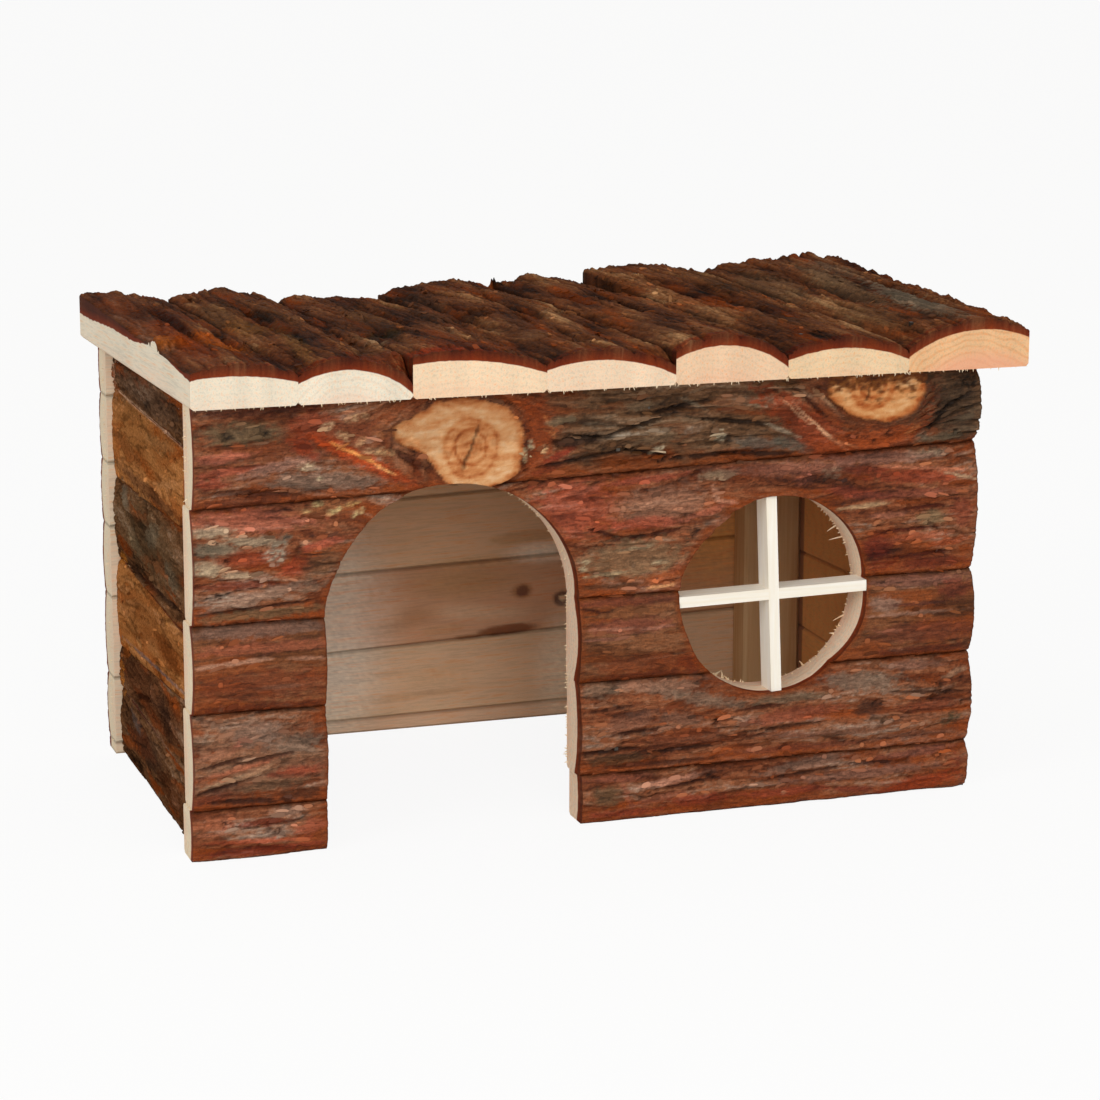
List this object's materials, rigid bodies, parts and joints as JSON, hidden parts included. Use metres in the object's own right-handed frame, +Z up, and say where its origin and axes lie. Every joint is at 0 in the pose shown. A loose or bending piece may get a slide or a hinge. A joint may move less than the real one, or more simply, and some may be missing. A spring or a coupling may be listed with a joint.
{
  "type": "wooden hamster house",
  "caption": "Rustic small-pet house of bark-faced slab boards: round-headed doorway, round window with a wooden cross, flat overhanging roof, open underneath.",
  "frame": {"origin": "on the ground, under the middle of the roof", "axes": "+Z up, +X to the right seen from the front, the doorway and window face -Y"},
  "size_m": [0.2884, 0.16, 0.1634],
  "materials": {
    "wall_bark_slab": "rough red-brown bark outside, sawn softwood inside",
    "roof_bark_slab": "rough grey-brown bark outside, sawn softwood at the ends",
    "sawn_wood": "plain sawn softwood",
    "steel": "dull bright steel wire"
  },
  "bodies": {
    "root": {"back_brads": "steel", "back_left_post": "sawn_wood", "back_right_post": "sawn_wood", "back_slab_1": "wall_bark_slab", "back_slab_2": "wall_bark_slab", "back_slab_3": "wall_bark_slab", "back_slab_4": "wall_bark_slab", "back_slab_5": "wall_bark_slab", "back_slab_6": "wall_bark_slab", "back_slab_7": "wall_bark_slab", "front_brads": "steel", "front_left_post": "sawn_wood", "front_middle_post": "sawn_wood", "front_right_post": "sawn_wood", "front_slab_1": "wall_bark_slab", "front_slab_2_left": "wall_bark_slab", "front_slab_2_right": "wall_bark_slab", "front_slab_3_left": "wall_bark_slab", "front_slab_3_middle": "wall_bark_slab", "front_slab_3_right": "wall_bark_slab", "front_slab_4_left": "wall_bark_slab", "front_slab_4_right": "wall_bark_slab", "front_slab_5_left": "wall_bark_slab", "front_slab_5_right": "wall_bark_slab", "left_brads": "steel", "left_slab_1": "wall_bark_slab", "left_slab_2": "wall_bark_slab", "left_slab_3": "wall_bark_slab", "left_slab_4": "wall_bark_slab", "left_slab_5": "wall_bark_slab", "left_slab_6": "wall_bark_slab", "right_brads": "steel", "right_slab_1": "wall_bark_slab", "right_slab_2": "wall_bark_slab", "right_slab_3": "wall_bark_slab", "right_slab_4": "wall_bark_slab", "right_slab_5": "wall_bark_slab", "roof_brads": "steel", "roof_slab_1": "roof_bark_slab", "roof_slab_2": "roof_bark_slab", "roof_slab_3": "roof_bark_slab", "roof_slab_4": "roof_bark_slab", "roof_slab_5": "roof_bark_slab", "roof_slab_6": "roof_bark_slab", "roof_slab_7": "roof_bark_slab", "window_bar_level": "sawn_wood", "window_bar_upright": "sawn_wood"}
  },
  "joints": []
}
